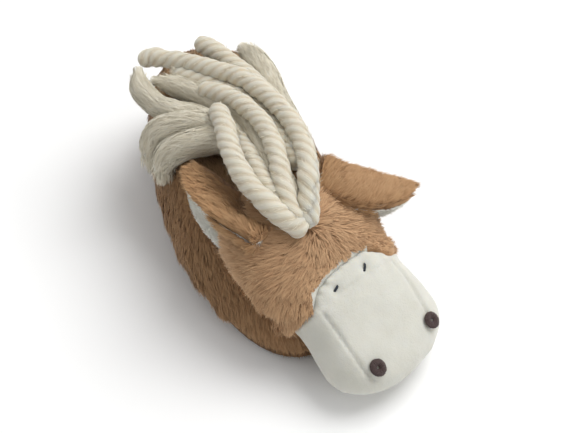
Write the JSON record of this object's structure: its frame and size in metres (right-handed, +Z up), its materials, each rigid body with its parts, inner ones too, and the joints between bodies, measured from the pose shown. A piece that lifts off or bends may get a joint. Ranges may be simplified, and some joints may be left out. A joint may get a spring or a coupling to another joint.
{
  "type": "plush animal slipper",
  "caption": "Child's right plush slipper shaped as a horse: furry brown upper and head, cream muzzle, leaf-shaped ears and a thrown-back mane of thick yarn.",
  "frame": {"origin": "On the floor, on the underside of the sole, under the arch and 3 mm behind the sole's middle.", "axes": "+Z up; +Y towards the heel, -Y towards the toe; +X towards the inner side of the right foot."},
  "size_m": [0.105, 0.1946, 0.0774],
  "materials": {
    "sole_cloth": "brown woven sole cloth over thin foam",
    "dark_lining": "dark brown brushed lining",
    "brown_fur": "long-pile brown plush with lighter tips",
    "cream_plush": "short-pile cream plush",
    "brown_thread": "dark brown embroidery thread with a slight sheen",
    "cream_yarn": "thick soft cream yarn, plies twisted together"
  },
  "bodies": {
    "root": {"outsole": "sole_cloth", "insole": "dark_lining", "upper": "brown_fur", "head": "brown_fur", "muzzle": "cream_plush", "nostril_lateral": "brown_thread", "nostril_medial": "brown_thread", "ear_lateral": "brown_fur", "ear_lining_lateral": "cream_plush", "ear_medial": "brown_fur", "ear_lining_medial": "cream_plush", "mane": "cream_yarn"}
  },
  "joints": []
}
